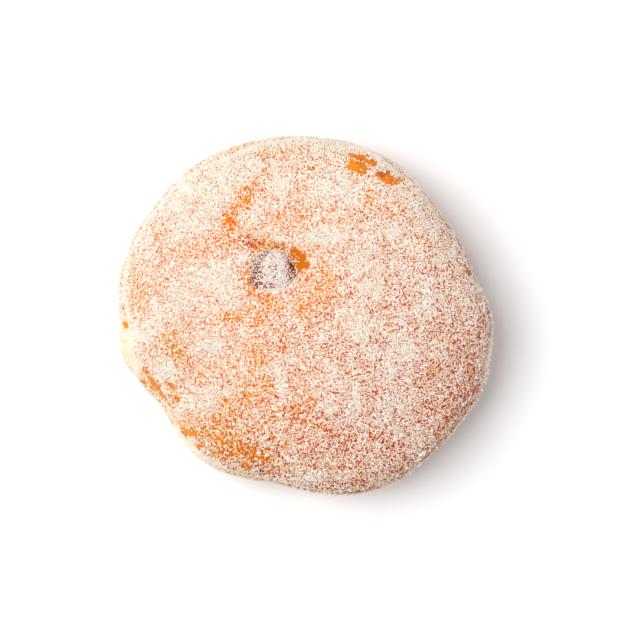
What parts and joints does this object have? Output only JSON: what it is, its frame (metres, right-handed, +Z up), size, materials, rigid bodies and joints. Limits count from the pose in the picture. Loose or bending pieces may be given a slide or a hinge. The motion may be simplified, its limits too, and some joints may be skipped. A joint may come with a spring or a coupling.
{
  "type": "jelly filled doughnut",
  "caption": "Round sugared yeast doughnut with a domed crown, a pale waist, a soft belly and jelly standing in its filling hole.",
  "frame": {"origin": "on the table, under the middle of the doughnut's outline seen from above", "axes": "+Z up through the crown; +X along the longest width; the filling hole lies towards -X and +Y"},
  "size_m": [0.0864, 0.0824, 0.0401],
  "materials": {
    "crust": "fried yeast dough under a coat of granulated sugar, pale at the waist",
    "jelly": "set red fruit jelly, crusted with sugar on top",
    "sugar": "granulated sugar crystals"
  },
  "bodies": {
    "root": {"dough": "crust", "jelly": "jelly"}
  },
  "joints": []
}
